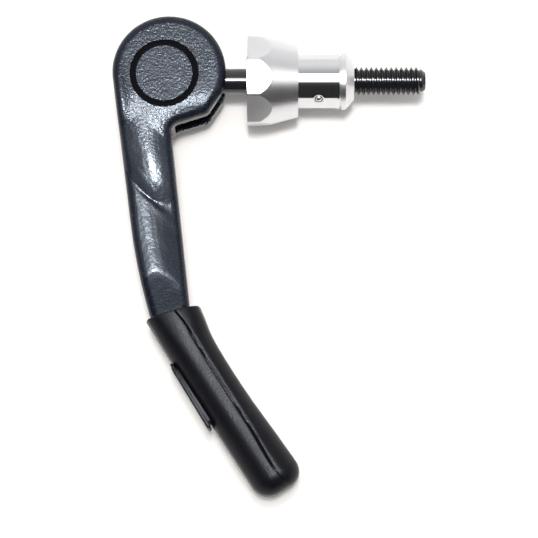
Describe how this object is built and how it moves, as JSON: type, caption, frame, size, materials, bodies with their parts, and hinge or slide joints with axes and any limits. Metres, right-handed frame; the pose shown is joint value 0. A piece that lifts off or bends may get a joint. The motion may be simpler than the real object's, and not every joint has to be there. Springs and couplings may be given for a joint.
{
  "type": "cam lever",
  "caption": "Cam lever with a bent, rubber-gripped handle, an eccentric forked hub on a cross pin, and a threaded stud carrying a sliding tapered collar.",
  "frame": {"origin": "on the stud's axis, where its outer thread starts", "axes": "+X along the stud towards its free threaded end, +Z along the cross pin that the lever turns on, -Y towards the grip"},
  "size_m": [0.0881, 0.136, 0.0256],
  "materials": {
    "black_powder_coat": "semi-gloss black powder coat with fine orange peel",
    "black_rubber": "satin moulded rubber",
    "black_polymer": "matte",
    "black_oxide": "black oxide, lightly oiled",
    "satin_aluminium": "fine turned satin",
    "polished_steel": "mirror polished",
    "spring_steel": "drawn wire"
  },
  "bodies": {
    "stud": {"stud": "black_oxide", "cross_pin": "black_powder_coat"},
    "lever": {"lever_arm": "black_powder_coat", "hand_grip": "black_rubber", "upper_bushing": "black_polymer", "lower_bushing": "black_polymer"},
    "collar": {"tapered_collar": "satin_aluminium", "barrel_sleeve": "polished_steel", "nose_ring": "satin_aluminium", "plunger_cup": "polished_steel", "detent_spring": "spring_steel"},
    "ball": {"detent_ball": "polished_steel"}
  },
  "joints": [
    {"name": "lever_pivot", "type": "hinge", "parent": "stud", "child": "lever", "pos_m": [-0.0535, 0, 0], "axis": [0, 0, 1], "range_deg": [-180, 33]},
    {"name": "collar_slide", "type": "slide", "parent": "stud", "child": "collar", "axis": [1, 0, 0], "range_m": [-0.0055, 0.02]},
    {"name": "ball_plunge", "type": "slide", "parent": "collar", "child": "ball", "axis": [0, -0.8241, 0.5664], "range_m": [-0.00035, 0], "stiffness_N_per_m": 4000, "springref_m": 0.0004, "deforming": ["detent_spring"]}
  ]
}
